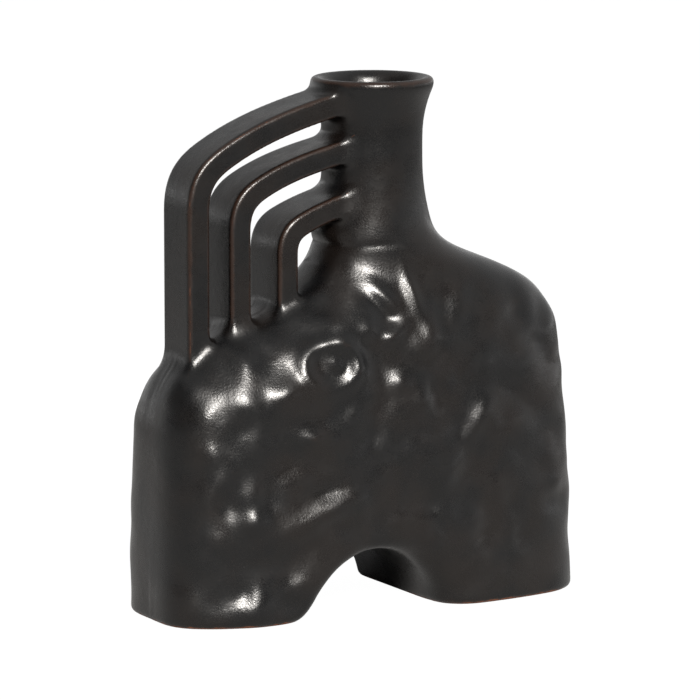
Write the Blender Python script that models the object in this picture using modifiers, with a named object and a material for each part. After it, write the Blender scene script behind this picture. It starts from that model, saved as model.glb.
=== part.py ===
"""Black glazed clay vase: a hollow body on two feet with a tunnel between them, a flared neck off centre,
and three nested solid clay arches that join the neck to the left shoulder. Metres, +Z up, front at -Y."""

import math

import bmesh
import bpy
import numpy as np
from mathutils import Vector
from mathutils.geometry import interpolate_bezier

MM = 0.001
GAP = 0.3

HEIGHT = 290.0
WALL = 5.5
FOOT_THICKNESS = 6.0

# Body sections in millimetres: height, left edge, right edge, half depth, squareness of the superellipse.
FOOT_SECTIONS = (
    (0.0, -126.5, 126.5, 50.5, 3.7),
    (1.0, -127.5, 127.5, 51.5, 3.7),
    (2.5, -128.0, 128.0, 52.0, 3.7),
)
BODY_SECTIONS = (
    (2.5, -128.0, 128.0, 52.0, 3.7),
    (41.0, -127.5, 126.0, 52.0, 3.7),
    (81.0, -126.5, 124.5, 51.0, 3.6),
    (106.0, -126.0, 123.0, 50.0, 3.4),
    (123.0, -121.0, 122.5, 48.5, 3.2),
    (137.0, -113.0, 122.5, 47.0, 3.0),
    (151.0, -102.0, 121.0, 45.5, 2.8),
    (163.0, -80.5, 116.0, 44.0, 2.6),
    (173.0, -54.0, 106.0, 42.5, 2.4),
    (182.0, -35.0, 88.0, 41.0, 2.3),
    (188.0, -30.0, 75.0, 40.0, 2.2),
    (193.0, -27.0, 62.0, 38.5, 2.1),
    (198.0, -25.0, 53.5, 37.0, 2.0),
    (204.0, -23.5, 46.5, 35.0, 2.0),
)
BODY_SEGMENTS = 56
SHOULDER_START = 123.0
WALL_PITCH = 15.0
SHOULDER_PITCH = 6.0

# The neck is turned about a vertical axis, narrowest between two heights and flaring to each end.
NECK_X = 11.5
NECK_BASE = 204.0
NECK_FOOT_RADIUS = 35.0
WAIST_RADIUS = 28.0
WAIST_LOW = 244.0
WAIST_HIGH = 258.0
LIP_HEIGHT = 287.0
LIP_RADIUS = 34.3
LIP_POINTS = 5
NECK_STEPS = 40
NECK_RINGS = 12

# The tunnel between the feet, an arch of constant section that its cutters carry past the front and back.
TUNNEL_X = -12.0
TUNNEL_HALF_WIDTH = 41.0
TUNNEL_HEIGHT = 41.5
TUNNEL_SQUARENESS = 1.8
TUNNEL_POINTS = 12
THROUGH = 80.0

# Each arch: leg position, height where it starts to bend, end of the bend with its slope,
# and the height and slope at which its upper limb reaches the neck.
ARCHES = (
    {"name": "arch_outer", "leg": -102.5, "foot": 138.0, "bend": 222.0, "turn": (-86.0, 251.5, 0.60),
     "end": (0.0, 281.0, 0.24), "thick": 13.0},
    {"name": "arch_middle", "leg": -77.5, "foot": 152.0, "bend": 211.0, "turn": (-64.0, 234.5, 0.55),
     "end": (0.0, 254.0, 0.22), "thick": 12.6},
    {"name": "arch_inner", "leg": -49.2, "foot": 162.0, "bend": 197.0, "turn": (-39.0, 213.5, 0.48),
     "end": (0.0, 226.0, 0.24), "thick": 12.2},
)
ARCH_DEPTH = 32.0
ARCH_EDGE = 3.0
BEZIER_POINTS = 7

GLAZE = {"color": (0.030, 0.027, 0.025), "roughness": 0.32, "metallic": 0.35}
BARE_CLAY = {"color": (0.33, 0.13, 0.06), "roughness": 0.85, "metallic": 0.0}


def clear_scene():
    for obj in list(bpy.data.objects):
        bpy.data.objects.remove(obj, do_unlink=True)


def new_collection(name):
    collection = bpy.data.collections.new(name)
    bpy.context.scene.collection.children.link(collection)
    return collection


def new_material(name, look):
    material = bpy.data.materials.new(name)
    material.use_nodes = True
    shader = material.node_tree.nodes["Principled BSDF"]
    shader.inputs["Base Color"].default_value = (*look["color"], 1.0)
    shader.inputs["Roughness"].default_value = look["roughness"]
    shader.inputs["Metallic"].default_value = look["metallic"]
    material.diffuse_color = (*look["color"], 1.0)
    return material


def add_object(name, mesh, collection, material=None):
    obj = bpy.data.objects.new(name, mesh)
    collection.objects.link(obj)
    if material:
        mesh.materials.append(material)
    return obj


def make_cutter(obj):
    obj.hide_render = True
    obj.display_type = "WIRE"
    return obj


def smooth_round_faces(obj, degrees=40.0):
    obj.data.shade_smooth()
    obj.data.set_sharp_from_angle(angle=math.radians(degrees))


def add_boolean(obj, cutter, operation):
    modifier = obj.modifiers.new(f"{operation}_{cutter.name}".lower(), "BOOLEAN")
    modifier.operation = operation
    modifier.solver = "EXACT"
    modifier.object = cutter


def superellipse_ring(section, growth=0.0):
    """Points round one horizontal body section, in millimetres, counter-clockwise from above."""
    height, left, right, half_depth, power = section
    centre = (left + right) / 2
    half_width = (right - left) / 2 + growth
    ring = []
    for angle in np.linspace(0.0, 2 * math.pi, BODY_SEGMENTS, endpoint=False):
        c = math.cos(angle)
        s = math.sin(angle)
        x = centre + half_width * math.copysign(abs(c) ** (2 / power), c)
        y = (half_depth + growth) * math.copysign(abs(s) ** (2 / power), s)
        ring.append((x, y, height))
    return ring


def body_section_at(height):
    """The body section at any height, with each value following a smooth curve through the sections."""
    table = np.array(BODY_SECTIONS)
    heights = table[:, 0]
    slopes = np.gradient(table, heights, axis=0)
    index = int(np.clip(np.searchsorted(heights, height) - 1, 0, len(heights) - 2))
    span = heights[index + 1] - heights[index]
    t = (height - heights[index]) / span
    start = (2 * t**3 - 3 * t**2 + 1) * table[index] + (t**3 - 2 * t**2 + t) * span * slopes[index]
    finish = (3 * t**2 - 2 * t**3) * table[index + 1] + (t**3 - t**2) * span * slopes[index + 1]
    return tuple(start + finish)


def body_heights(low, high):
    """Ring heights from low to high, closer together where the shoulders slope."""
    upright = np.linspace(low, SHOULDER_START, round((SHOULDER_START - low) / WALL_PITCH) + 1)
    sloping = np.linspace(SHOULDER_START, high, round((high - SHOULDER_START) / SHOULDER_PITCH) + 1)
    return [*upright, *sloping[1:]]


def loft_mesh(name, sections, closed, growth=0.0):
    """A skin through horizontal sections, with flat end caps when closed."""
    mesh = bpy.data.meshes.new(name)
    bm = bmesh.new()
    rings = []
    for section in sections:
        rings.append([bm.verts.new(Vector(p) * MM) for p in superellipse_ring(section, growth)])
    for lower, upper in zip(rings, rings[1:]):
        for i in range(BODY_SEGMENTS):
            j = (i + 1) % BODY_SEGMENTS
            bm.faces.new((lower[i], lower[j], upper[j], upper[i]))
    if closed:
        bm.faces.new(list(reversed(rings[0])))
        bm.faces.new(rings[-1])
    bm.to_mesh(mesh)
    bm.free()
    return mesh


def body_solid(name, collection, growth=0.0):
    """The whole outer body as a closed solid, moved up and out by growth."""
    upper = [body_section_at(h) for h in body_heights(BODY_SECTIONS[0][0], NECK_BASE)]
    sections = [*FOOT_SECTIONS, *upper[1:]]
    raised = [(s[0] + growth, *s[1:]) for s in sections]
    return make_cutter(add_object(name, loft_mesh(name, raised, True, growth), collection))


def box_cutter(name, collection, low, high):
    size = [b - a for a, b in zip(low, high)]
    centre = [(a + b) / 2 for a, b in zip(low, high)]
    mesh = bpy.data.meshes.new(name)
    bm = bmesh.new()
    bmesh.ops.create_cube(bm, size=1.0)
    bmesh.ops.scale(bm, vec=Vector(size) * MM, verts=bm.verts)
    bm.to_mesh(mesh)
    bm.free()
    obj = make_cutter(add_object(name, mesh, collection))
    obj.location = Vector(centre) * MM
    return obj


def tunnel_outline(offset, low):
    """The arch of the tunnel in the XZ plane, moved outward by offset and cut off level at height low."""
    arch = []
    for angle in np.linspace(0.0, math.pi / 2, TUNNEL_POINTS):
        x = (TUNNEL_HALF_WIDTH + offset) * math.cos(angle) ** (2 / TUNNEL_SQUARENESS)
        z = (TUNNEL_HEIGHT + offset) * math.sin(angle) ** (2 / TUNNEL_SQUARENESS)
        arch.append((x, z))
    heights = [z for x, z in arch]
    half = [(float(np.interp(low, heights, [x for x, z in arch])), low)]
    half += [(x, z) for x, z in arch if z > low]
    right = [(TUNNEL_X + x, z) for x, z in half]
    left = [(TUNNEL_X - x, z) for x, z in half[:-1]]
    return right + left[::-1]


def plate_object(name, outline, half_depth, collection, material=None, edge=0.0):
    """A flat outline in the XZ plane, thickened to both sides of Y = 0, as a mesh object."""
    curve = bpy.data.curves.new(name, "CURVE")
    curve.dimensions = "2D"
    curve.fill_mode = "BOTH"
    curve.extrude = (half_depth - edge) * MM
    curve.bevel_depth = edge * MM
    curve.bevel_resolution = 1
    curve.offset = -edge * MM
    spline = curve.splines.new("POLY")
    spline.points.add(len(outline) - 1)
    for point, (x, z) in zip(spline.points, outline):
        point.co = (x * MM, z * MM, 0.0, 1.0)
    spline.use_cyclic_u = True
    source = add_object(name + "_outline", curve, collection)
    source.rotation_euler = (math.pi / 2, 0.0, 0.0)
    bpy.context.view_layer.update()
    evaluated = source.evaluated_get(bpy.context.evaluated_depsgraph_get())
    mesh = bpy.data.meshes.new_from_object(evaluated)
    mesh.name = name
    bm = bmesh.new()
    bm.from_mesh(mesh)
    bmesh.ops.remove_doubles(bm, verts=bm.verts, dist=0.00001)
    bmesh.ops.recalc_face_normals(bm, faces=bm.faces)
    bm.to_mesh(mesh)
    bm.free()
    obj = add_object(name, mesh, collection, material)
    obj.matrix_world = source.matrix_world.copy()
    bpy.data.objects.remove(source, do_unlink=True)
    return obj


def neck_radius(height):
    """Outer radius of the neck at a height below the lip."""
    below = max(0.0, (WAIST_LOW - height) / (WAIST_LOW - NECK_BASE))
    above = max(0.0, (height - WAIST_HIGH) / (LIP_HEIGHT - WAIST_HIGH))
    return WAIST_RADIUS + (NECK_FOOT_RADIUS - WAIST_RADIUS) * below**2 + (LIP_RADIUS - WAIST_RADIUS) * above**2


def lip_arc():
    """The rounded top of the rim, from the mouth over to its outer side."""
    middle = LIP_RADIUS - WALL / 2
    rise = HEIGHT - LIP_HEIGHT
    angles = np.linspace(math.pi, 0.0, LIP_POINTS + 2)[1:-1]
    return [(middle + WALL / 2 * math.cos(a), LIP_HEIGHT + rise * math.sin(a)) for a in angles]


def turned_object(name, profile, collection, material=None):
    """A closed profile of (radius, height) pairs turned about the neck's axis."""
    mesh = bpy.data.meshes.new(name)
    points = [(radius * MM, 0.0, height * MM) for radius, height in profile]
    edges = [(i, (i + 1) % len(points)) for i in range(len(points))]
    mesh.from_pydata(points, edges, [])
    obj = add_object(name, mesh, collection, material)
    obj.location = (NECK_X * MM, 0.0, 0.0)
    screw = obj.modifiers.new("turn", "SCREW")
    screw.axis = "Z"
    screw.steps = NECK_STEPS
    screw.render_steps = NECK_STEPS
    screw.use_merge_vertices = True
    screw.merge_threshold = 0.00001
    screw.use_smooth_shade = True
    return obj


def make_neck(collection, material):
    heights = np.linspace(LIP_HEIGHT, NECK_BASE + GAP, NECK_RINGS)
    outer = [(neck_radius(h), h) for h in heights]
    inner = [(radius - WALL, h) for radius, h in reversed(outer)]
    return turned_object("neck", outer + inner + lip_arc(), collection, material)


def make_neck_cutter(collection):
    """The neck as a solid plug with the gap added, to shape the arches' upper ends."""
    heights = np.linspace(LIP_HEIGHT + 20.0, NECK_BASE - 10.0, 2 * NECK_RINGS)
    profile = [(neck_radius(min(h, LIP_HEIGHT)) + GAP, h) for h in heights]
    profile += [(0.0, heights[-1]), (0.0, heights[0])]
    return make_cutter(turned_object("neck_cutter", profile, collection))


def arch_path(arch):
    """Centre line of an arch as (x, z) points: a straight leg, a bend and a limb that levels out."""
    leg_x = arch["leg"]
    turn_x, turn_z, turn_slope = arch["turn"]
    end_x, end_z, end_slope = arch["end"]
    bend = Vector((leg_x, arch["bend"], 0.0))
    turn = Vector((turn_x, turn_z, 0.0))
    end = Vector((end_x, end_z, 0.0))
    along_turn = Vector((1.0, turn_slope, 0.0)).normalized()
    along_end = Vector((1.0, end_slope, 0.0)).normalized()
    corner = 0.5 * (turn - bend).length
    reach = 0.33 * (end - turn).length
    up = Vector((0.0, 1.0, 0.0))
    points = [Vector((leg_x, arch["foot"], 0.0))]
    points += interpolate_bezier(bend, bend + up * corner, turn - along_turn * corner * 0.7, turn, BEZIER_POINTS)
    points += interpolate_bezier(turn, turn + along_turn * reach, end - along_end * reach, end, BEZIER_POINTS)[1:]
    return points


def arch_outline(arch):
    """The band of constant thickness about an arch's centre line."""
    path = arch_path(arch)
    half = arch["thick"] / 2
    left = []
    right = []
    for i, point in enumerate(path):
        ahead = path[min(i + 1, len(path) - 1)] - path[max(i - 1, 0)]
        side = Vector((-ahead.y, ahead.x, 0.0)).normalized() * half
        left.append((point.x + side.x, point.y + side.y))
        right.append((point.x - side.x, point.y - side.y))
    return left + right[::-1]


def make_arch(arch, collection, material, body_plug, neck_plug):
    obj = plate_object(arch["name"], arch_outline(arch), ARCH_DEPTH / 2, collection, material, ARCH_EDGE)
    add_boolean(obj, body_plug, "DIFFERENCE")
    add_boolean(obj, neck_plug, "DIFFERENCE")
    smooth_round_faces(obj)
    return obj


def make_body_half(name, collection, material, tunnel_cutter, far_side):
    """One press-moulded half of the body: an open skin thickened inward, cut at the tunnel and at Y = 0."""
    sections = [body_section_at(h) for h in body_heights(FOOT_THICKNESS + GAP, NECK_BASE)]
    obj = add_object(name, loft_mesh(name, sections, False), collection, material)
    shell = obj.modifiers.new("wall", "SOLIDIFY")
    shell.thickness = WALL * MM
    shell.offset = -1.0
    shell.use_even_offset = True
    add_boolean(obj, tunnel_cutter, "DIFFERENCE")
    add_boolean(obj, far_side, "DIFFERENCE")
    smooth_round_faces(obj)
    return obj


def make_tunnel_arch(collection, material, whole_body):
    """The curved slab over the tunnel, trimmed flush with the body's front and back."""
    low = FOOT_THICKNESS + GAP
    outer = tunnel_outline(WALL, low)
    inner = tunnel_outline(0.0, low)
    band = outer + inner[::-1]
    obj = plate_object("tunnel_arch", band, THROUGH, collection, material)
    add_boolean(obj, whole_body, "INTERSECT")
    smooth_round_faces(obj)
    return obj


def make_foot_plate(name, collection, material, tunnel_cutter, far_side):
    top = (FOOT_THICKNESS, *body_section_at(FOOT_THICKNESS)[1:])
    mesh = loft_mesh(name, [*FOOT_SECTIONS, top], True)
    obj = add_object(name, mesh, collection, material)
    add_boolean(obj, tunnel_cutter, "DIFFERENCE")
    add_boolean(obj, far_side, "DIFFERENCE")
    smooth_round_faces(obj)
    return obj


def main():
    clear_scene()
    vase = new_collection("black_clay_vase")
    cutters = new_collection("cutters")
    glaze = new_material("black_glaze", GLAZE)
    clay = new_material("bare_clay", BARE_CLAY)

    whole_body = body_solid("whole_body", cutters)
    body_plug = body_solid("body_plug", cutters, GAP)
    neck_plug = make_neck_cutter(cutters)
    wall_tunnel = make_cutter(plate_object("wall_tunnel", tunnel_outline(WALL + GAP, -GAP), THROUGH, cutters))
    foot_tunnel = make_cutter(plate_object("foot_tunnel", tunnel_outline(0.0, -GAP), THROUGH, cutters))
    reach = HEIGHT
    behind = box_cutter("behind", cutters, (-reach, -GAP / 2, -reach), (reach, reach, reach))
    in_front = box_cutter("in_front", cutters, (-reach, -reach, -reach), (reach, GAP / 2, reach))
    on_right = box_cutter("on_right", cutters, (TUNNEL_X, -reach, -reach), (reach, reach, reach))
    on_left = box_cutter("on_left", cutters, (-reach, -reach, -reach), (TUNNEL_X, reach, reach))

    make_body_half("body_front_half", vase, glaze, wall_tunnel, behind)
    make_body_half("body_back_half", vase, glaze, wall_tunnel, in_front)
    make_tunnel_arch(vase, glaze, whole_body)
    make_foot_plate("foot_plate_left", vase, clay, foot_tunnel, on_right)
    make_foot_plate("foot_plate_right", vase, clay, foot_tunnel, on_left)
    make_neck(vase, glaze)
    for arch in ARCHES:
        make_arch(arch, vase, glaze, body_plug, neck_plug)


main()
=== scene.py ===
"""Looks of the black clay vase: one continuous surface worked out as a distance field, cut into the clay
pieces that the vase was luted from, with a satin bronze-black glaze. Named lengths are millimetres, with X
to the right, Y to the back and Z up from the floor. Named angles are degrees."""

import math

import bmesh
import bpy
import numpy as np
import openvdb
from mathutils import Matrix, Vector
from mathutils.geometry import interpolate_bezier


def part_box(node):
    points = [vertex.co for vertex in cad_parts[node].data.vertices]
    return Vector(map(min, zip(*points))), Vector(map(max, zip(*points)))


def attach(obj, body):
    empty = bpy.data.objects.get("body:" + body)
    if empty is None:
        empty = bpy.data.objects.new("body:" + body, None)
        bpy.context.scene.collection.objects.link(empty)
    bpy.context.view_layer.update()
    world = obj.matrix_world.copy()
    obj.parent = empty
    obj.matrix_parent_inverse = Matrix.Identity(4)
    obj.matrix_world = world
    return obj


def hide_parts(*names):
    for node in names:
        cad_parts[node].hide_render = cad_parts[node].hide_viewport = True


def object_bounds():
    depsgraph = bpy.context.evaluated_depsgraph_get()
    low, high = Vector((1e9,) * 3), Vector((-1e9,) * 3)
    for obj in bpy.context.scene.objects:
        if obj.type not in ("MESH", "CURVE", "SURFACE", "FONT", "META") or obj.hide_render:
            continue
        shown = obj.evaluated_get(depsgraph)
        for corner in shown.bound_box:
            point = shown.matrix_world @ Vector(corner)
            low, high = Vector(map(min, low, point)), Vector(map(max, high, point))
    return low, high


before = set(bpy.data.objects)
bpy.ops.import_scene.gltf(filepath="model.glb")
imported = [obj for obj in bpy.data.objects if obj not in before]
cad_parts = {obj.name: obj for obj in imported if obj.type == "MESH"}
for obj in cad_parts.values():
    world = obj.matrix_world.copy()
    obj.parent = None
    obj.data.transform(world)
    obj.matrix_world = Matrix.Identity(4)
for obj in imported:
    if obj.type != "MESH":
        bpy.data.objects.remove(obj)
cad_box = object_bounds()

MM = 0.001
# The grid's spacing and its border round the CAD box, and the clay's thickness.
VOXEL = 1.0
MARGIN = 12.0
WALL = 5.5
# A distance larger than any here, and limits that keep divisions finite.
FAR_AWAY = 1e6
LEAST_SHARE = 0.02
LEAST_SLOPE = 0.2
LEAST_SQUARE = 0.1
LEAST_LENGTH = 1e-6


def box_mm(node):
    low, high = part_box(node)
    return np.array(low) / MM, np.array(high) / MM


CAD_LOW, CAD_HIGH = (np.array(corner) / MM for corner in cad_box)
NECK_LOW, NECK_HIGH = box_mm("neck")
FOOT_TOP = box_mm("foot_plate_left")[1][2]
HEIGHT = CAD_HIGH[2]
NECK_X = (NECK_LOW[0] + NECK_HIGH[0]) / 2
NECK_BASE = NECK_LOW[2]

# Body sections: height, left edge, right edge, half depth, squareness of the superellipse.
BODY_SECTIONS = (
    (-20.0, -128.0, 128.0, 52.0, 3.7),
    (41.0, -127.5, 126.0, 52.0, 3.7),
    (81.0, -126.5, 124.5, 51.0, 3.6),
    (106.0, -126.0, 123.0, 50.0, 3.4),
    (123.0, -121.5, 122.5, 48.5, 3.2),
    (137.0, -113.5, 122.5, 47.0, 3.0),
    (151.0, -102.0, 121.0, 45.5, 2.8),
    (163.0, -80.5, 116.0, 42.4, 2.6),
    (173.0, -54.0, 108.0, 38.4, 2.4),
    (182.0, -34.0, 90.5, 35.2, 2.3),
    (188.0, -28.0, 76.0, 33.6, 2.2),
    (193.0, -25.0, 61.5, 32.7, 2.1),
    (198.0, -23.0, 52.5, 32.2, 2.0),
)
SECTION_BLEND = 4.0
SECTION_PITCH = 0.5
SECTION_OVERHANG = 30.0

# The neck: radius and height of its waist, how it flares below and above, and its thickened, rounded lip.
WAIST_RADIUS = 28.0
WAIST_LOW = 244.0
WAIST_HIGH = 258.0
NECK_FOOT_RADIUS = 35.0
NECK_FLATTENING = 4.0
LIP_HEIGHT = 287.0
LIP_RADIUS = 34.6
LIP_FLARE = 2.2
LIP_EXTRA = 5.5
LIP_ROUNDING = 8.0
LIP_TOP = HEIGHT + 0.7

# The tunnel between the feet, and how round its front edge is at its middle and at its right wall. The
# rounding fades between two places along Y to a smaller share at the back.
TUNNEL_X = -11.0
TUNNEL_HALF_WIDTH = 40.5
TUNNEL_HEIGHT = 36.0
TUNNEL_SQUARENESS = 1.8
TUNNEL_EDGE = (9.0, 24.0)
TUNNEL_EDGE_REACH = 50.0
TUNNEL_FADE = (-30.0, 10.0)
TUNNEL_BACK_SHARE = 0.3
TUNNEL_POINTS = 61

# Rounding under the feet, and how much more of it the left foot has beside the tunnel.
FOOT_ROUNDING = 4.0
INNER_FOOT_ROUNDING = 9.0
INNER_FOOT_REACH = 12.0

# Each arch: leg position, height where it bends, end of the bend and its slope, height and slope at x = 0,
# thickness and half depth.
ARCHES = (
    {"name": "arch_outer", "leg": -102.7, "bend": 222.0, "turn": (-84.8, 252.6, 0.60),
     "end": (281.0, 0.215), "thick": 13.2, "half_depth": 16.0},
    {"name": "arch_middle", "leg": -77.6, "bend": 211.0, "turn": (-64.0, 234.5, 0.55),
     "end": (254.0, 0.22), "thick": 12.8, "half_depth": 16.5},
    {"name": "arch_inner", "leg": -49.3, "bend": 197.0, "turn": (-39.0, 213.5, 0.48),
     "end": (226.0, 0.24), "thick": 12.4, "half_depth": 18.0},
)

# The slope between the shoulder's front crest and the arches' feet: its height near the middle arch's foot,
# its climb to the right, its fall outward from CREST_Y, and how its climb steepens right of the arches and
# above CREST_TOP, where the neck starts.
CREST_X, CREST_Y, CREST_Z = -73.0, 16.0, 163.2
CREST_CLIMB = 0.27
CREST_FALL = 0.95
CREST_ROUNDING = 3.0
CREST_END_X = -36.0
CREST_END_CLIMB = 1.7
CREST_END_BLEND = 12.0
CREST_TOP = 200.0
CREST_NECK_CLIMB = 3.0
CREST_BLEND = 16.0

# Thumb marks on the front: x, z, long and short reach, tilt of the long side in degrees, depth inward.
FRONT_MARKS = (
    (-38.0, 139.0, 9.0, 7.5, 30.0, 1.6),
    (-35.0, 140.0, 3.4, 3.0, 0.0, -1.6),
    (-88.0, 123.0, 10.0, 6.0, 15.0, -1.8),
    (-103.0, 119.0, 6.0, 7.0, 80.0, 1.0),
    (-66.0, 127.0, 9.0, 4.5, 30.0, -1.5),
    (-98.0, 100.0, 7.0, 9.0, 0.0, 1.4),
    (-123.0, 124.0, 6.0, 8.0, 0.0, -0.7),
    (-50.0, 101.0, 6.5, 3.6, 0.0, -2.3),
    (-50.0, 112.0, 7.5, 4.0, 0.0, 1.2),
    (-72.0, 108.0, 9.0, 7.0, 0.0, 1.3),
    (-64.0, 84.0, 14.0, 10.0, 0.0, 3.0),
    (-43.0, 60.5, 15.0, 5.2, 24.0, -4.0),
    (-20.0, 63.0, 8.0, 4.2, -5.0, -1.5),
    (-87.0, 57.0, 5.5, 4.2, 0.0, -1.7),
    (-99.0, 72.0, 6.0, 9.0, 0.0, 1.2),
    (-72.0, 37.0, 15.0, 7.0, 10.0, 2.2),
    (-64.0, 19.0, 12.0, 4.4, 20.0, -1.9),
    (-100.0, 30.0, 9.0, 12.0, 0.0, 0.9),
    (4.0, 127.5, 5.0, 4.0, 0.0, -1.9),
    (-14.0, 112.0, 9.0, 8.0, 0.0, 1.2),
    (40.0, 116.0, 12.0, 6.5, 60.0, 2.4),
    (51.0, 102.0, 9.0, 3.8, 55.0, -2.3),
    (66.0, 156.0, 8.0, 6.0, 20.0, -1.2),
    (78.0, 101.0, 6.0, 4.5, 0.0, -1.4),
    (24.0, 150.0, 3.6, 7.0, 0.0, -1.7),
    (33.0, 163.0, 5.0, 9.0, -20.0, 1.4),
    (3.0, 170.0, 11.0, 3.2, -48.0, -2.0),
    (16.0, 175.0, 9.0, 2.8, -76.0, -1.8),
    (-6.0, 168.0, 8.0, 3.4, -50.0, 1.3),
    (10.0, 163.0, 7.0, 3.0, -50.0, 1.2),
    (2.0, 154.0, 7.5, 3.2, 35.0, -2.3),
    (-13.0, 157.0, 4.0, 3.4, 0.0, -1.9),
    (-4.0, 160.5, 6.0, 3.0, 20.0, 1.2),
    (20.0, 52.0, 9.0, 4.4, 10.0, -1.9),
    (0.0, 52.0, 5.0, 3.8, 0.0, -1.5),
    (44.0, 78.0, 13.0, 10.0, 20.0, 1.6),
    (62.0, 40.0, 14.0, 9.0, 0.0, 1.5),
    (75.0, 66.0, 9.0, 7.0, 0.0, -1.2),
    (98.0, 84.0, 8.0, 10.0, 0.0, 1.0),
    (20.0, 84.0, 9.0, 6.0, -30.0, -1.3),
)
# A raised ring round the first of them: its centre, half width and half height, the number of bumps round
# it, one bump's long and short reach, the bumps' depth inward at the ring's lower left and upper right, and
# the turn of that upper right from the X axis.
RING_X, RING_Z = -38.0, 139.5
RING_HALF_WIDTH, RING_HALF_HEIGHT = 15.5, 12.5
RING_BUMPS = 12
RING_BUMP = (5.2, 3.4)
RING_DEPTHS = (-1.1, -2.0)
RING_HIGH_TURN = 60.0
# How far a mark reaches through the wall and where it is cut off, against its longer reach, and the share
# of the body's half width past which marks lie no further back.
MARK_THROUGH = 1.6
MARK_CUT_OFF = 3.0
MARK_EDGE = 0.98
# Marks scattered over the front and the back: their number, heights, reach, greatest depth, the share of it
# that the shallowest have, and how the depth falls to a share toward the vase's two ends.
SCATTER_COUNT = 520
SCATTER_HEIGHTS = (4.0, 172.0)
SCATTER_REACH = (4.0, 8.0)
SCATTER_DEPTH = 1.5
SCATTER_SHALLOWEST = 0.4
SCATTER_END = 40.0
SCATTER_END_SHARE = 0.35
SCATTER_SEED = 11

# The arches' bars: where their legs start inside the body, their rounded edges, the fillet where they meet
# the body and the neck, and the points and pull of each curve along them.
ARCH_FOOT = 125.0
ARCH_EDGE = 2.6
ARCH_FILLET = 5.5
BEZIER_POINTS = 14
BEND_PULL = 0.5
BEND_EXIT_PULL = 0.7
LIMB_PULL = 0.33

# The hollow's mesh uses every second grid point, and its roof reaches a little way into the neck.
INNER_STEP = 2
HOLLOW_ROOF = NECK_BASE + 8.0

# The planes that part the pieces: the arches are cut off along a slope, at a height above x = 0.
CUT_REACH = 400.0
ARCH_CUT_Z = 198.5
ARCH_CUT_RISE = 0.40
ARCH_CUT_RIGHT = -24.0
TUNNEL_CUT_DEPTH = 80.0
BELOW_FLOOR = -10.0

# How many voxels from the surface the field is kept, the steps that settle a mesh on it, how near the
# surface a face's middle is on glazed skin, and the cosine to the face above which a corner that isn't on
# the skin keeps its smooth normal.
FIELD_VOXELS = 4.0
SETTLE_STEPS = 3
SKIN_DEPTH = 0.7
SMOOTH_TURN = 0.8

# The clay line along the arches' edges: how much weaker it is on the inner edges, where it may start and end
# across an edge, and the distance given to places without a line.
INNER_LINE_LOSS = 0.35
LINE_START = -1.0
LINE_END = 2 * ARCH_EDGE
NO_LINE = 9.0


# ---------------------------------------------------------------- distance field

def axis_points(low, high):
    return np.arange(low - MARGIN, high + MARGIN, VOXEL, dtype=np.float32)


def smooth_max(a, b, width):
    """The larger of two distances with the edge between them rounded over about the width."""
    overlap = np.maximum(width - np.abs(a - b), 0.0) / width
    return np.maximum(a, b) + overlap * overlap * width * 0.25


def smooth_min(a, b, width):
    return -smooth_max(-a, -b, width)


def neck_radius(height):
    below = np.maximum(0.0, (WAIST_LOW - height) / (WAIST_LOW - NECK_BASE))
    above = np.maximum(0.0, (height - WAIST_HIGH) / (LIP_HEIGHT - WAIST_HIGH))
    flare = (NECK_FOOT_RADIUS - WAIST_RADIUS) * below**2
    return WAIST_RADIUS + flare + (LIP_RADIUS - WAIST_RADIUS) * above**LIP_FLARE


def neck_flattening(height):
    """How much less the neck flares toward front and back than toward its sides."""
    below = np.clip((WAIST_LOW - height) / (WAIST_LOW - NECK_BASE), 0.0, 1.0)
    return NECK_FLATTENING * below**2


def section_curves(heights):
    """Left edge, right edge, half depth and squareness at each height, smoothed over the heights."""
    fine = np.arange(heights[0] - SECTION_OVERHANG, heights[-1] + SECTION_OVERHANG, SECTION_PITCH)
    table = np.array(BODY_SECTIONS)
    radius = neck_radius(np.maximum(fine, NECK_BASE))
    circle = np.full_like(fine, 2.0)
    neck_values = (NECK_X - radius, NECK_X + radius, radius - neck_flattening(fine), circle)
    known = (fine < table[-1, 0]) | (fine > NECK_BASE)
    reach = np.arange(-4 * SECTION_BLEND, 4 * SECTION_BLEND + SECTION_PITCH, SECTION_PITCH)
    kernel = np.exp(-0.5 * (reach / SECTION_BLEND) ** 2)
    kernel /= kernel.sum()
    curves = []
    for column, neck_value in enumerate(neck_values, start=1):
        body_value = np.interp(fine, table[:, 0], table[:, column])
        joined = np.where(fine < NECK_BASE, body_value, neck_value)
        joined = np.interp(fine, fine[known], joined[known])
        smoothed = np.convolve(np.pad(joined, len(reach) // 2, mode="edge"), kernel, mode="valid")
        curves.append(np.interp(heights, fine, smoothed).astype(np.float32))
    return curves


def unit_slope(field):
    """The field over the length of its gradient, so that it counts in millimetres near its surface."""
    parts = np.gradient(field, VOXEL)
    return field / np.maximum(np.sqrt(sum(part * part for part in parts)), LEAST_SLOPE)


def body_field(x, y, z):
    left, right, half_depth, power = (curve[None, None, :] for curve in section_curves(z[0, 0]))
    centre = (left + right) / 2
    u = np.abs(x - centre) / ((right - left) / 2)
    v = np.abs(y) / half_depth
    share = np.maximum((u**power + v**power) ** (1 / power), LEAST_SHARE)
    radius = np.sqrt((x - centre) ** 2 + y * y)
    return unit_slope(radius - radius / share)


def surface_depth(px, pz):
    """Half depth of the smooth body at a place on its front."""
    left, right, half_depth, power = (float(curve[0]) for curve in section_curves(np.array([pz])))
    u = min(abs(px - (left + right) / 2) / ((right - left) / 2), MARK_EDGE)
    return half_depth * (1 - u**power) ** (1 / power)


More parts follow.
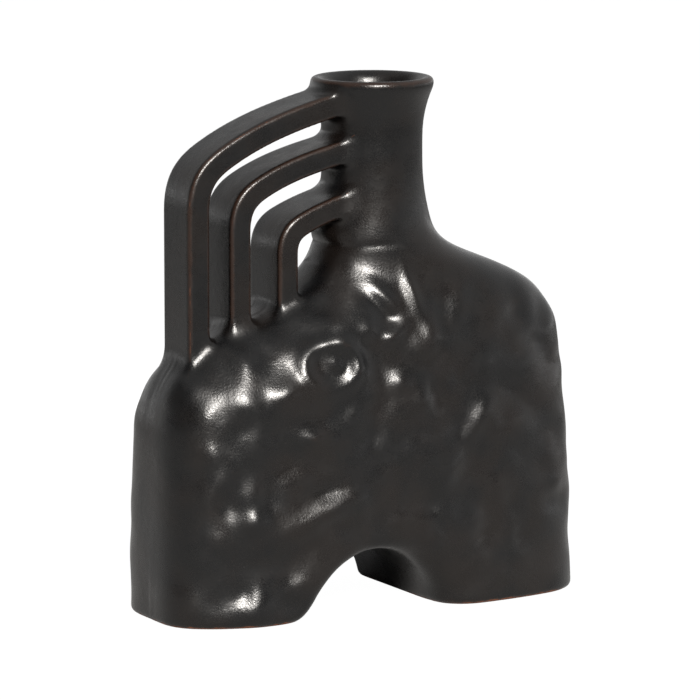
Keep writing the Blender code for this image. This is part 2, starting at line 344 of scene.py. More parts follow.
def press_mark(field, x, y, z, mark, side):
    """Presses one thumb mark into a body field; side is -1 on the front, 1 on the back."""
    px, pz, long, short, tilt, depth = mark
    py = side * surface_depth(px, pz)
    reach = MARK_CUT_OFF * max(long, short)
    spans = []
    for axis, centre in ((x, px), (y, py), (z, pz)):
        flat = axis.ravel()
        spans.append(slice(*np.searchsorted(flat, (centre - reach, centre + reach))))
    dx, dy, dz = x[spans[0]] - px, y[:, spans[1]] - py, z[:, :, spans[2]] - pz
    c, s = math.cos(math.radians(tilt)), math.sin(math.radians(tilt))
    along = (dx * c + dz * s) / long
    across = (dz * c - dx * s) / short
    through = dy / (MARK_THROUGH * max(long, short))
    field[tuple(spans)] += depth * np.exp(-0.5 * (along**2 + across**2 + through**2))


def ring_marks():
    """The raised ring as a chain of bumps, each lying along the ring."""
    for index in range(RING_BUMPS):
        turn = 360.0 * index / RING_BUMPS
        px = RING_X + RING_HALF_WIDTH * math.cos(math.radians(turn))
        pz = RING_Z + RING_HALF_HEIGHT * math.sin(math.radians(turn))
        upper_right = 0.5 + 0.5 * math.cos(math.radians(turn - RING_HIGH_TURN))
        depth = RING_DEPTHS[0] + (RING_DEPTHS[1] - RING_DEPTHS[0]) * upper_right
        yield px, pz, *RING_BUMP, turn + 90.0, depth


def scattered_marks():
    """Seeded random marks, taking turns between the back and the front."""
    random = np.random.default_rng(SCATTER_SEED)
    for index in range(SCATTER_COUNT):
        px = random.uniform(CAD_LOW[0], CAD_HIGH[0])
        pz = random.uniform(*SCATTER_HEIGHTS)
        long, short = random.uniform(*SCATTER_REACH, 2)
        tilt = random.uniform(0.0, 180.0)
        depth = random.uniform(SCATTER_SHALLOWEST, 1.0) * SCATTER_DEPTH * random.choice((-1.0, 1.0))
        from_end = min(px - CAD_LOW[0], CAD_HIGH[0] - px)
        depth *= min(1.0, SCATTER_END_SHARE + from_end / SCATTER_END)
        yield (px, pz, long, short, tilt, depth), -1 if index % 2 else 1


def crest_field(x, y, z):
    """Distance to the slope from the shoulder's crest up to the arches' feet, on both faces."""
    outward = CREST_ROUNDING * np.logaddexp(0.0, (np.abs(y) - CREST_Y) / CREST_ROUNDING)
    height = z - CREST_Z - CREST_CLIMB * (x - CREST_X) + CREST_FALL * outward
    past_arches = CREST_END_BLEND * np.logaddexp(0.0, (x - CREST_END_X) / CREST_END_BLEND)
    height = height - CREST_END_CLIMB * past_arches
    height = height - CREST_NECK_CLIMB * np.maximum(z - CREST_TOP, 0.0)
    return height / math.sqrt(1 + CREST_CLIMB**2 + CREST_FALL**2)


def tunnel_field(x, z):
    """Distance to the tunnel's arch in the XZ plane, negative inside it."""
    u = np.abs(x - TUNNEL_X) / TUNNEL_HALF_WIDTH
    v = np.abs(z) / TUNNEL_HEIGHT
    share = (u**TUNNEL_SQUARENESS + v**TUNNEL_SQUARENESS) ** (1 / TUNNEL_SQUARENESS)
    share = np.maximum(share, LEAST_SHARE)
    radius = np.sqrt((x - TUNNEL_X) ** 2 + z * z)
    flat = (radius - radius / share)[:, 0, :]
    return unit_slope(flat)[:, None, :]


def arch_path(arch):
    """Centre line of an arch in the XZ plane: a straight leg, a bend and a limb that levels out."""
    turn_x, turn_z, turn_slope = arch["turn"]
    end_z, end_slope = arch["end"]
    bend = Vector((arch["leg"], arch["bend"], 0.0))
    turn = Vector((turn_x, turn_z, 0.0))
    end = Vector((0.0, end_z, 0.0))
    along_turn = Vector((1.0, turn_slope, 0.0)).normalized()
    along_end = Vector((1.0, end_slope, 0.0)).normalized()
    corner = BEND_PULL * (turn - bend).length
    reach = LIMB_PULL * (end - turn).length
    into_bend = bend + Vector((0.0, 1.0, 0.0)) * corner
    out_of_bend = turn - along_turn * corner * BEND_EXIT_PULL
    points = [Vector((arch["leg"], ARCH_FOOT, 0.0))]
    points += interpolate_bezier(bend, into_bend, out_of_bend, turn, BEZIER_POINTS)
    into_limb = turn + along_turn * reach
    points += interpolate_bezier(turn, into_limb, end - along_end * reach, end, BEZIER_POINTS)[1:]
    return np.array([(p.x, p.y) for p in points])


def path_distance(x, z, path):
    """Distance in the XZ plane from every grid column to a polyline."""
    best = np.full((x.shape[0], z.shape[2]), FAR_AWAY, np.float32)
    px = x[:, 0, 0][:, None]
    pz = z[0, 0, :][None, :]
    for (ax, az), (bx, bz) in zip(path, path[1:]):
        dx, dz = bx - ax, bz - az
        t = np.clip(((px - ax) * dx + (pz - az) * dz) / (dx * dx + dz * dz), 0.0, 1.0)
        best = np.minimum(best, np.hypot(px - ax - t * dx, pz - az - t * dz))
    return best[:, None, :]


def rounded_bar(in_plane, across, half_thick, half_depth, edge):
    """Distance to a bar of rounded rectangular section."""
    a = in_plane - (half_thick - edge)
    b = np.abs(across) - (half_depth - edge)
    outside = np.sqrt(np.maximum(a, 0.0) ** 2 + np.maximum(b, 0.0) ** 2)
    return outside + np.minimum(np.maximum(a, b), 0.0) - edge


def vase_fields(x, y, z):
    """The solid outside with its mouth, and the hollow inside, as two distance fields."""
    body = body_field(x, y, z)
    body = smooth_max(body, crest_field(x, y, z), CREST_BLEND).astype(np.float32)
    smooth_body = body.copy()
    for mark in (*FRONT_MARKS, *ring_marks()):
        press_mark(body, x, y, z, mark, -1)
    for mark, side in scattered_marks():
        press_mark(body, x, y, z, mark, side)
    tunnel = tunnel_field(x, z)
    tunnel_edge = np.interp(x, (TUNNEL_X, TUNNEL_X + TUNNEL_EDGE_REACH), TUNNEL_EDGE).astype(np.float32)
    tunnel_edge = tunnel_edge * np.interp(y, TUNNEL_FADE, (1.0, TUNNEL_BACK_SHARE)).astype(np.float32)
    solid = smooth_max(body, -tunnel, tunnel_edge)
    for arch in ARCHES:
        flat = path_distance(x, z, arch_path(arch))
        bar = rounded_bar(flat, y, arch["thick"] / 2, arch["half_depth"], ARCH_EDGE)
        solid = smooth_min(solid, bar, ARCH_FILLET)
    near_tunnel = np.exp(-((TUNNEL_X - TUNNEL_HALF_WIDTH - x) / INNER_FOOT_REACH) ** 2)
    solid = smooth_max(solid, -z, FOOT_ROUNDING + INNER_FOOT_ROUNDING * near_tunnel)
    solid = smooth_max(solid, z - LIP_TOP, LIP_ROUNDING)
    from_axis = np.sqrt((x - NECK_X) ** 2 + y * y)
    lip_wall = WALL + LIP_EXTRA * np.clip((z - WAIST_HIGH) / (HEIGHT - WAIST_HIGH), 0.0, 1.0) ** 2
    bore = from_axis - (neck_radius(z) - neck_flattening(z) - lip_wall)
    bore = np.maximum(bore, NECK_BASE - z)
    solid = smooth_max(solid, -bore, LIP_ROUNDING)
    hollow = np.maximum(np.maximum(smooth_body, -tunnel), FOOT_TOP - WALL - z) + WALL
    hollow = np.maximum(hollow, z - HOLLOW_ROOF)
    return solid, hollow


# ---------------------------------------------------------------- meshes

def mesh_from_field(name, field, origin, step):
    """Closed quad mesh of the field's zero surface, in metres."""
    reach = FIELD_VOXELS * step
    grid = openvdb.FloatGrid(reach)
    grid.copyFromArray(np.clip(field, -reach, reach).astype(np.float32), tolerance=0.0)
    points, quads = grid.convertToQuads(0.0)
    points = (points * step + origin) * MM
    mesh = bpy.data.meshes.new(name)
    mesh.vertices.add(len(points))
    mesh.vertices.foreach_set("co", points.astype(np.float32).ravel())
    mesh.loops.add(quads.size)
    mesh.loops.foreach_set("vertex_index", quads.astype(np.int32).ravel())
    mesh.polygons.add(len(quads))
    mesh.polygons.foreach_set("loop_start", np.arange(0, quads.size, 4, dtype=np.int32))
    mesh.update(calc_edges=True)
    return mesh


def read_vectors(collection, name):
    found = np.empty(len(collection) * 3, np.float32)
    collection.foreach_get(name, found)
    return found.reshape(-1, 3)


def read_integers(collection, name):
    found = np.empty(len(collection), np.int32)
    collection.foreach_get(name, found)
    return found


def positions(mesh):
    return read_vectors(mesh.vertices, "co") / MM


def sample(field, points, origin, step):
    """Trilinear values of a grid, or of several stacked along a last axis, at points in millimetres."""
    place = np.clip((points - origin) / step, 0.0, np.array(field.shape[:3]) - 1.001)
    base = place.astype(int)
    part = (place - base).astype(np.float32)
    total = 0.0
    for corner in range(8):
        shift = np.array([(corner >> axis) & 1 for axis in range(3)])
        weight = np.prod(np.where(shift, part, 1.0 - part), axis=1)
        index = base + shift
        value = field[index[:, 0], index[:, 1], index[:, 2]]
        total = total + (weight[:, None] * value if value.ndim > 1 else weight * value)
    return total


def settle_on_surface(mesh, field, slopes, origin):
    """Moves each vertex along the field's slope until it lies on the zero surface."""
    points = positions(mesh)
    for _ in range(SETTLE_STEPS):
        value = sample(field, points, origin, VOXEL)
        slope = sample(slopes, points, origin, VOXEL)
        points = points - slope * (value / np.maximum((slope**2).sum(axis=1), LEAST_SQUARE))[:, None]
    mesh.vertices.foreach_set("co", (points * MM).astype(np.float32).ravel())
    mesh.update()


def box_object(name, low, high, rise=0.0):
    """A region box in millimetres whose floor and ceiling climb by rise per unit of X."""
    mesh = bpy.data.meshes.new(name)
    bm = bmesh.new()
    bmesh.ops.create_cube(bm, size=1.0)
    for vert in bm.verts:
        share = np.array(vert.co) + 0.5
        spot = np.array(low) + share * (np.array(high) - np.array(low))
        spot[2] += rise * spot[0]
        vert.co = Vector(spot) * MM
    bm.to_mesh(mesh)
    bm.free()
    obj = bpy.data.objects.new(name, mesh)
    bpy.context.scene.collection.objects.link(obj)
    return obj


def prism_object(name, outline, half_depth):
    """A region with an outline in the XZ plane, through the body from front to back."""
    mesh = bpy.data.meshes.new(name)
    bm = bmesh.new()
    front = [bm.verts.new(Vector((px, -half_depth, pz)) * MM) for px, pz in outline]
    back = [bm.verts.new(Vector((px, half_depth, pz)) * MM) for px, pz in outline]
    bm.faces.new(front)
    bm.faces.new(list(reversed(back)))
    for i in range(len(outline)):
        j = (i + 1) % len(outline)
        bm.faces.new((front[j], front[i], back[i], back[j]))
    bmesh.ops.recalc_face_normals(bm, faces=bm.faces)
    bm.to_mesh(mesh)
    bm.free()
    obj = bpy.data.objects.new(name, mesh)
    bpy.context.scene.collection.objects.link(obj)
    return obj


def cut(source, region, operation, name):
    """A new object: the part of source inside the region (INTERSECT) or outside it (DIFFERENCE)."""
    modifier = source.modifiers.new("cut", "BOOLEAN")
    modifier.solver = "MANIFOLD"
    modifier.operation = operation
    modifier.object = region
    bpy.context.view_layer.update()
    evaluated = source.evaluated_get(bpy.context.evaluated_depsgraph_get())
    mesh = bpy.data.meshes.new_from_object(evaluated)
    mesh.name = name
    source.modifiers.remove(modifier)
    obj = bpy.data.objects.new(name, mesh)
    bpy.context.scene.collection.objects.link(obj)
    return obj


def split(source, region, inside, outside):
    """Both parts of a solid cut by a region; the source is removed."""
    pair = cut(source, region, "INTERSECT", inside), cut(source, region, "DIFFERENCE", outside)
    bpy.data.objects.remove(source, do_unlink=True)
    bpy.data.objects.remove(region, do_unlink=True)
    return pair


def loose_bodies(source, names):
    """The separate bodies of an object as objects of their own, named from left to right."""
    bm = bmesh.new()
    bm.from_mesh(source.data)
    bm.verts.ensure_lookup_table()
    unseen = set(range(len(bm.verts)))
    groups = []
    while unseen:
        stack = [unseen.pop()]
        group = set(stack)
        while stack:
            for edge in bm.verts[stack.pop()].link_edges:
                for vert in edge.verts:
                    if vert.index in unseen:
                        unseen.discard(vert.index)
                        group.add(vert.index)
                        stack.append(vert.index)
        groups.append(group)
    groups = sorted(groups, key=len, reverse=True)[: len(names)]
    groups.sort(key=lambda group: min(bm.verts[i].co.x for i in group))
    bm.free()
    made = []
    for name, group in zip(names, groups):
        copy = bmesh.new()
        copy.from_mesh(source.data)
        copy.verts.ensure_lookup_table()
        bmesh.ops.delete(copy, geom=[v for v in copy.verts if v.index not in group], context="VERTS")
        mesh = bpy.data.meshes.new(name)
        copy.to_mesh(mesh)
        copy.free()
        obj = bpy.data.objects.new(name, mesh)
        bpy.context.scene.collection.objects.link(obj)
        made.append(obj)
    bpy.data.objects.remove(source, do_unlink=True)
    return made


def tunnel_band(offset):
    """Outline of the tunnel's arch moved outward, from below the feet."""
    points = []
    for angle in np.linspace(0.0, math.pi, TUNNEL_POINTS):
        c = math.cos(angle)
        across = (TUNNEL_HALF_WIDTH + offset) * math.copysign(abs(c) ** (2 / TUNNEL_SQUARENESS), c)
        up = (TUNNEL_HEIGHT + offset) * math.sin(angle) ** (2 / TUNNEL_SQUARENESS)
        points.append((TUNNEL_X + across, up))
    return [(points[0][0], BELOW_FLOOR), *points, (points[-1][0], BELOW_FLOOR)]


def build_pieces(solid, hollow, origin):
    """The vase as separate closed clay pieces by CAD node name, and the slopes of its field."""
    slopes = np.stack(np.gradient(solid, VOXEL), axis=-1).astype(np.float32)
    skin_mesh = mesh_from_field("vase", solid, origin, VOXEL)
    settle_on_surface(skin_mesh, solid, slopes, origin)
    coarse = hollow[::INNER_STEP, ::INNER_STEP, ::INNER_STEP]
    hollow_mesh = mesh_from_field("hollow", coarse, origin, VOXEL * INNER_STEP)
    vase = bpy.data.objects.new("vase", skin_mesh)
    inside = bpy.data.objects.new("hollow", hollow_mesh)
    for obj in (vase, inside):
        bpy.context.scene.collection.objects.link(obj)
    core, vase = split(vase, inside, "core", "vase")
    bpy.data.objects.remove(core, do_unlink=True)

    far = CUT_REACH
    arch_zone = box_object("arch_zone", (-far, -far, ARCH_CUT_Z), (ARCH_CUT_RIGHT, far, far), ARCH_CUT_RISE)
    arches, rest = split(vase, arch_zone, "arches", "rest")
    arch_names = [arch["name"] for arch in ARCHES]
    pieces = dict(zip(arch_names, loose_bodies(arches, arch_names)))
    neck_zone = box_object("neck_zone", (-far, -far, NECK_BASE), (far, far, far))
    pieces["neck"], rest = split(rest, neck_zone, "neck", "rest")
    foot_zone = box_object("foot_zone", (-far, -far, -far), (far, far, FOOT_TOP))
    feet, rest = split(rest, foot_zone, "feet", "rest")
    left_zone = box_object("left_zone", (-far, -far, -far), (TUNNEL_X, far, far))
    foot_left, foot_right = split(feet, left_zone, "foot_left", "foot_right")
    pieces["foot_plate_left"], pieces["foot_plate_right"] = foot_left, foot_right
    tunnel_zone = prism_object("tunnel_zone", tunnel_band(WALL), TUNNEL_CUT_DEPTH)
    pieces["tunnel_arch"], rest = split(rest, tunnel_zone, "tunnel", "rest")
    front_zone = box_object("front_zone", (-far, -far, -far), (far, 0.0, far))
    pieces["body_front_half"], pieces["body_back_half"] = split(rest, front_zone, "front", "back")
    return pieces, slopes


def finish_surface(piece, solid, slopes, bend, origin):
    """Exact smooth normals from the field on the skin, and the attributes that the glaze reads."""
    mesh = piece.data
    points = positions(mesh)
    slope = sample(slopes, points, origin, VOXEL)
    normal = slope / np.maximum(np.linalg.norm(slope, axis=1), LEAST_LENGTH)[:, None]
    mesh.shade_smooth()
    owner = read_integers(mesh.loops, "vertex_index")
    sizes = read_integers(mesh.polygons, "loop_total")
    middles = read_vectors(mesh.polygons, "center") / MM
    flat = np.repeat(read_vectors(mesh.polygons, "normal"), sizes, axis=0)
    own = read_vectors(mesh.corner_normals, "vector")
    own = np.where((flat * own).sum(axis=1)[:, None] > SMOOTH_TURN, own, flat)
    on_skin = np.abs(sample(solid, middles, origin, VOXEL)) < SKIN_DEPTH
    final = np.where(np.repeat(on_skin, sizes)[:, None], normal[owner], own)
    mesh.normals_split_custom_set(final.tolist())
    edge = mesh.attributes.new("edge", "FLOAT", "POINT")
    edge.data.foreach_set("value", sample(bend, points, origin, VOXEL).astype(np.float32))
    line = mesh.attributes.new("line", "FLOAT", "POINT")
    line.data.foreach_set("value", edge_line_distance(points).astype(np.float32))


def edge_line_distance(points):
    """Distance from the middle of the arches' rounded edges, a little more on the inner edges."""
    nearest = np.full(len(points), FAR_AWAY)
    found = np.full(len(points), NO_LINE)
    for arch in ARCHES:
        path = arch_path(arch)
        best = np.full(len(points), FAR_AWAY)
        outer = np.zeros(len(points), bool)
        for (ax, az), (bx, bz) in zip(path, path[1:]):
            dx, dz = bx - ax, bz - az
            rx, rz = points[:, 0] - ax, points[:, 2] - az
            t = np.clip((rx * dx + rz * dz) / (dx * dx + dz * dz), 0.0, 1.0)
            gap = np.hypot(rx - t * dx, rz - t * dz)
            outer = np.where(gap < best, dx * rz - dz * rx > 0.0, outer)
            best = np.minimum(best, gap)
        in_plane = best - (arch["thick"] / 2 - ARCH_EDGE)
        across = np.abs(points[:, 1]) - (arch["half_depth"] - ARCH_EDGE)
        middle = np.abs(in_plane - across) + np.where(outer, 0.0, INNER_LINE_LOSS)
        on_edge = (np.minimum(in_plane, across) > LINE_START) & (np.maximum(in_plane, across) < LINE_END)
        middle = np.where(on_edge, middle, NO_LINE)
        found = np.where(best < nearest, middle, found)
        nearest = np.minimum(nearest, best)
    return found


def surface_bend(slopes):
    """How sharply the surface turns, per millimetre: positive on outer edges, negative in hollows."""
    unit = slopes / np.maximum(np.linalg.norm(slopes, axis=-1), LEAST_LENGTH)[..., None]
    return sum(np.gradient(unit[..., axis], VOXEL, axis=axis) for axis in range(3)).astype(np.float32)


# ---------------------------------------------------------------- materials

# Glaze colours where it is cool, warm, specked and thin, and the fired clay's two colours.
GLAZE_COOL = (0.0019, 0.0020, 0.0023, 1.0)
GLAZE_WARM = (0.0048, 0.0034, 0.0028, 1.0)
GLAZE_SPECK = (0.020, 0.014, 0.011, 1.0)
GLAZE_THIN = (0.035, 0.015, 0.008, 1.0)
CLAY_DARK = (0.10, 0.028, 0.010, 1.0)
CLAY_LIGHT = (0.20, 0.065, 0.025, 1.0)
# Sizes of what varies over the surface, and the depth of its pits and ripples.
CLOUD_SIZE = 34.0
SHEEN_SIZE = 11.0
STREAK_SIZE = 6.0
RIPPLE_SIZE = 5.0
CLAY_GRAIN = 1.2
PIT_SIZE = 1.1
SPECK_SIZE = 0.55
PIT_DEPTH = 0.11
RIPPLE_DEPTH = 0.10
# The part of a noise's range over which what it draws comes in.
CLOUD_RANGE = (0.38, 0.66)
CLOUD_LINE_RANGE = (0.35, 0.65)
SPECK_RANGE = (0.62, 0.82)
SPECK_SHEEN_RANGE = (0.3, 0.8)
STREAK_RANGE = (0.3, 0.7)
# The glaze is thin on edges that turn this sharply, per millimetre, and streaks move that by a little.
THIN_RANGE = (0.20, 0.42)
THIN_WANDER = (-0.05, 0.05)
# How wide the clay line on the arches' edges is, and how streaks and clouds move it.
LINE_RANGE = (0.10, 0.50)
LINE_STREAKS = (0.0, 0.45)
LINE_CLOUDS = (-0.15, 0.25)
# Where the glaze ends above the floor, how far that wanders, and a level that leaves no clay bare.
FOOT_LINE = 0.9
FOOT_LINE_WANDER = 0.9
FOOT_LINE_BLUR = 0.3
ALL_GLAZED = -5.0
# Roughness of the glaze, what specks add to it, and what bare clay adds.
SHEEN = (0.24, 0.32)
SPECK_SHEEN = (-0.02, 0.10)
CLAY_ROUGHNESS = 0.4
# How strongly specks, thin edges and the clay line show, and the glaze's reflection.
SPECK_SHARE = 0.55
THIN_SHARE = 0.4
LINE_SHARE = 0.8
GLAZE_SPECULAR = 0.5
GLAZE_TINT = (1.0, 0.985, 0.965, 1.0)


def node(tree, kind, inputs=(), **settings):
    """A shader node with its settings, and its inputs set to values or linked to sockets."""
    made = tree.nodes.new(kind)
    for key, value in settings.items():
        setattr(made, key, value)
    for key, value in dict(inputs).items():
        if isinstance(value, bpy.types.NodeSocket):
            tree.links.new(value, made.inputs[key])
        else:
            made.inputs[key].default_value = value
    return made


def noise(tree, place, size_mm, detail=2.0, roughness=0.5):
    """Noise of about 0 to 1 whose features are size_mm across."""
    inputs = {"Vector": place, "Scale": 1.0 / (size_mm * MM), "Detail": detail, "Roughness": roughness}
    return node(tree, "ShaderNodeTexNoise", inputs).outputs["Fac"]


def band(tree, value, start, end, low=0.0, high=1.0):
    """The value moved smoothly from low to high between start and end."""
    inputs = {"Value": value, "From Min": start, "From Max": end, "To Min": low, "To Max": high}
    return node(tree, "ShaderNodeMapRange", inputs, interpolation_type="SMOOTHSTEP").outputs["Result"]


def maths(tree, operation, a, b):
    return node(tree, "ShaderNodeMath", {0: a, 1: b}, operation=operation).outputs[0]


def blend_colours(tree, share, a, b):
    """Colour a where the share is 0, colour b where it is 1."""
    factor, colour_a, colour_b, colour_result = 0, 6, 7, 2
    inputs = {factor: share, colour_a: a, colour_b: b}
    return node(tree, "ShaderNodeMix", inputs, data_type="RGBA").outputs[colour_result]


def attribute(tree, name):
    """A value that finish_surface has stored on the mesh."""
    return node(tree, "ShaderNodeAttribute", attribute_name=name).outputs["Fac"]


def bump(tree, height, depth_mm, normal=None):
    inputs = {"Height": height, "Strength": 1.0, "Distance": depth_mm * MM}
    if normal is not None:
        inputs["Normal"] = normal
    return node(tree, "ShaderNodeBump", inputs).outputs["Normal"]


def clay_colour(tree, place):
    """Fired red-brown clay with lighter and darker grains."""
    return blend_colours(tree, noise(tree, place, CLAY_GRAIN, 4.0), CLAY_DARK, CLAY_LIGHT)


def new_material(name):
    material = bpy.data.materials.new(name)
    material.use_nodes = True
    tree = material.node_tree
    place = node(tree, "ShaderNodeTexCoord").outputs["Object"]
    return material, tree, tree.nodes["Principled BSDF"], place


def glaze_material(name, foot_line):
    """Satin bronze-black glaze, brown where it is thin, that ends at foot_line over the floor."""
    material, tree, shader, place = new_material(name)
    cloud = noise(tree, place, CLOUD_SIZE, 3.0)
    streak = noise(tree, place, STREAK_SIZE, 3.0)
    speck = noise(tree, place, SPECK_SIZE, 1.0)
    clay = clay_colour(tree, place)
    colour = blend_colours(tree, band(tree, cloud, *CLOUD_RANGE), GLAZE_COOL, GLAZE_WARM)
    colour = blend_colours(tree, band(tree, speck, *SPECK_RANGE, 0.0, SPECK_SHARE), colour, GLAZE_SPECK)

    worn = maths(tree, "ADD", attribute(tree, "edge"), band(tree, streak, *STREAK_RANGE, *THIN_WANDER))
    colour = blend_colours(tree, band(tree, worn, *THIN_RANGE, 0.0, THIN_SHARE), colour, GLAZE_THIN)

    wander = maths(tree, "ADD", attribute(tree, "line"), band(tree, streak, *STREAK_RANGE, *LINE_STREAKS))
    wander = maths(tree, "ADD", wander, band(tree, cloud, *CLOUD_LINE_RANGE, *LINE_CLOUDS))
    colour = blend_colours(tree, band(tree, wander, *LINE_RANGE, LINE_SHARE, 0.0), colour, clay)

    height = node(tree, "ShaderNodeSeparateXYZ", {"Vector": place}).outputs["Z"]
    drip = band(tree, streak, *STREAK_RANGE, 0.0, FOOT_LINE_WANDER * MM)
    height = maths(tree, "SUBTRACT", height, drip)
    low, high = (foot_line - FOOT_LINE_BLUR) * MM, (foot_line + FOOT_LINE_BLUR) * MM
    bare = band(tree, height, low, high, 1.0, 0.0)
    colour = blend_colours(tree, bare, colour, clay)

    rough = band(tree, noise(tree, place, SHEEN_SIZE, 4.0), *STREAK_RANGE, *SHEEN)
    rough = maths(tree, "ADD", rough, band(tree, speck, *SPECK_SHEEN_RANGE, *SPECK_SHEEN))
    rough = maths(tree, "ADD", rough, maths(tree, "MULTIPLY", bare, CLAY_ROUGHNESS))
    normal = bump(tree, noise(tree, place, PIT_SIZE, 2.0, 0.6), PIT_DEPTH)
    normal = bump(tree, noise(tree, place, RIPPLE_SIZE, 2.0), RIPPLE_DEPTH, normal)
    for socket, value in (("Base Color", colour), ("Roughness", rough), ("Normal", normal)):
        tree.links.new(value, shader.inputs[socket])
    shader.inputs["Specular IOR Level"].default_value = GLAZE_SPECULAR
    shader.inputs["Specular Tint"].default_value = GLAZE_TINT
    return material


# ---------------------------------------------------------------- stage

# The floor: its side and the ring over which it darkens, in metres, and its grey near the vase and far off:
# a painted pool of light, lighter near the vase, that the glaze's reflections see.
FLOOR_SIDE = 40.0
PAINTED_POOL_RING = (0.35, 1.5)
FLOOR_IN_PAINTED_POOL = (0.42, 0.42, 0.42, 1.0)
FLOOR_PAST_PAINTED_POOL = (0.18, 0.18, 0.18, 1.0)
FLOOR_ROUGHNESS = 0.9
# How much of what the camera sees of the floor is its even glow, and how bright that is.
FLOOR_GLOW = 0.92
GLOW_STRENGTH = 1.08
WHITE = (1.0, 1.0, 1.0, 1.0)

# The room: white up to the first angle over the horizon, then falling to its own level at the second. The
# ceiling, the right side and the wall behind the vase are lighter, the last two by the direction's X and Y.
HORIZON = (2.0, 6.0)
ROOM_LIGHT = 0.125
CEILING = (35.0, 70.0)
CEILING_LIGHT = 0.32
RIGHT_SIDE = (0.3, 0.8)
SIDE_LIGHT = 0.45
BEHIND = (0.6, 0.95)
BACK_LIGHT = 0.4

CAMERA_AZIMUTH = 28.5
CAMERA_ELEVATION = 9.2
CAMERA_DISTANCE_M = 2.888
CAMERA_TARGET_M = (-0.0022, 0.0, 0.139)
CAMERA_LENS = 269.5
CAMERA_SENSOR = 36.0
CAMERA_REACH_M = 100.0

# The soft key lamp: azimuth from the front, elevation, its size as an angle, energy and colour.
KEY_AZIMUTH = -16.0
KEY_ELEVATION = 34.0
KEY_WIDTH = 14.0
KEY_ENERGY = 6.0
KEY_COLOUR = (1.0, 0.975, 0.945)


def direction(azimuth, elevation):
    """Unit vector toward a place; azimuth 0 is in front of the vase, and positive is to the right."""
    a, e = math.radians(azimuth), math.radians(elevation)
    return Vector((math.sin(a) * math.cos(e), -math.cos(a) * math.cos(e), math.sin(e)))


def add_stage():
    """A white light table: the camera sees it evenly lit, and the glaze reflects its shading, partly real
    shadow from the lamps and partly a painted pool of light that is lighter near the vase.
    """
    bpy.ops.mesh.primitive_plane_add(size=FLOOR_SIDE, location=(0.0, 0.0, CAD_LOW[2] * MM))
    floor = bpy.context.object
    floor.name = "floor"
    material, tree, shader, place = new_material("floor_white")
    far = node(tree, "ShaderNodeVectorMath", {0: place}, operation="LENGTH").outputs["Value"]
    # Painted pool of light: the floor's grey is lighter near the vase and darker far off, in place of lamp
    # light fading with distance.
    painted_pool = blend_colours(tree, band(tree, far, *PAINTED_POOL_RING), FLOOR_IN_PAINTED_POOL, FLOOR_PAST_PAINTED_POOL)
    tree.links.new(painted_pool, shader.inputs["Base Color"])
    shader.inputs["Roughness"].default_value = FLOOR_ROUGHNESS
    shader.inputs["Specular IOR Level"].default_value = 0.0
    glow = node(tree, "ShaderNodeEmission", {"Color": WHITE, "Strength": GLOW_STRENGTH})
    seen = node(tree, "ShaderNodeLightPath").outputs["Is Camera Ray"]
    share = maths(tree, "MULTIPLY", seen, FLOOR_GLOW)
    mix = node(tree, "ShaderNodeMixShader", {0: share, 1: shader.outputs[0], 2: glow.outputs[0]})
    tree.links.new(mix.outputs[0], tree.nodes["Material Output"].inputs["Surface"])
    floor.data.materials.append(material)


def add_camera():
    target = Vector(CAMERA_TARGET_M)
    back = direction(-CAMERA_AZIMUTH, CAMERA_ELEVATION)
    data = bpy.data.cameras.new("camera")
    data.lens = CAMERA_LENS
    data.sensor_width = CAMERA_SENSOR
    data.clip_end = CAMERA_REACH_M
    camera = bpy.data.objects.new("camera", data)
    camera.location = target + back * CAMERA_DISTANCE_M
    camera.rotation_euler = back.to_track_quat("Z", "Y").to_euler()
    bpy.context.scene.collection.objects.link(camera)
    bpy.context.scene.camera = camera


def rising_band(tree, rise, angles, low, high):
    """A light level that goes from low to high between two heights over the horizon."""
    start, end = (math.sin(math.radians(angle)) for angle in angles)
    return band(tree, rise, start, end, low, high)


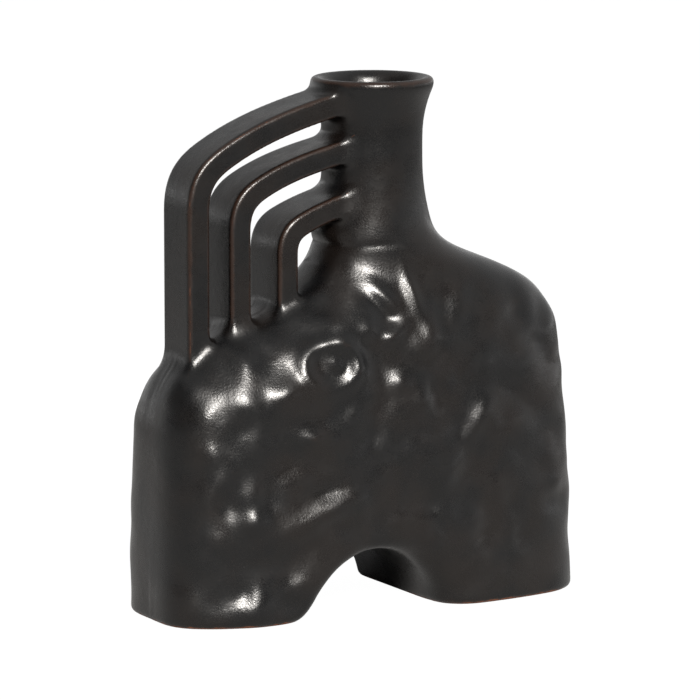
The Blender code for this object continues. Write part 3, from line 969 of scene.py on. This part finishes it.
def add_world():
    """A white horizon that falls to a dim room, lighter overhead, to the right and behind the vase."""
    world = bpy.data.worlds.new("world")
    world.use_nodes = True
    tree = world.node_tree
    way = node(tree, "ShaderNodeTexCoord").outputs["Generated"]
    axes = node(tree, "ShaderNodeSeparateXYZ", {"Vector": way}).outputs
    room = rising_band(tree, axes["Z"], HORIZON, 1.0, ROOM_LIGHT)
    ceiling = rising_band(tree, axes["Z"], CEILING, 0.0, CEILING_LIGHT)
    side = band(tree, axes["X"], *RIGHT_SIDE, 0.0, SIDE_LIGHT)
    behind = band(tree, axes["Y"], *BEHIND, 0.0, BACK_LIGHT)
    total = maths(tree, "ADD", maths(tree, "ADD", room, ceiling), maths(tree, "ADD", side, behind))
    background = tree.nodes["Background"]
    background.inputs["Color"].default_value = WHITE
    tree.links.new(total, background.inputs["Strength"])
    bpy.context.scene.world = world


def add_key():
    """The soft lamp, far away in front and above."""
    data = bpy.data.lights.new("key", "SUN")
    data.energy = KEY_ENERGY
    data.angle = math.radians(KEY_WIDTH)
    data.color = KEY_COLOUR
    lamp = bpy.data.objects.new("key", data)
    way = direction(KEY_AZIMUTH, KEY_ELEVATION)
    lamp.rotation_euler = way.to_track_quat("Z", "Y").to_euler()
    bpy.context.scene.collection.objects.link(lamp)


def main():
    xs = axis_points(CAD_LOW[0], CAD_HIGH[0])
    ys = axis_points(CAD_LOW[1], CAD_HIGH[1])
    zs = axis_points(CAD_LOW[2], CAD_HIGH[2])
    origin = np.array([xs[0], ys[0], zs[0]])
    x, y, z = xs[:, None, None], ys[None, :, None], zs[None, None, :]
    solid, hollow = vase_fields(x, y, z)
    solid = solid.astype(np.float32)
    pieces, slopes = build_pieces(solid, hollow.astype(np.float32), origin)
    bend = surface_bend(slopes)
    glaze = glaze_material("bronze_black_glaze", ALL_GLAZED)
    foot_glaze = glaze_material("foot_glaze", FOOT_LINE)
    for name, piece in pieces.items():
        piece.name = name + "_piece"
        finish_surface(piece, solid, slopes, bend, origin)
        piece.data.materials.clear()
        piece.data.materials.append(foot_glaze if name.startswith("foot") else glaze)
        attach(piece, "root")
        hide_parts(name)
    add_stage()
    add_camera()
    add_world()
    add_key()
    bpy.context.scene.view_settings.view_transform = "Standard"


main()
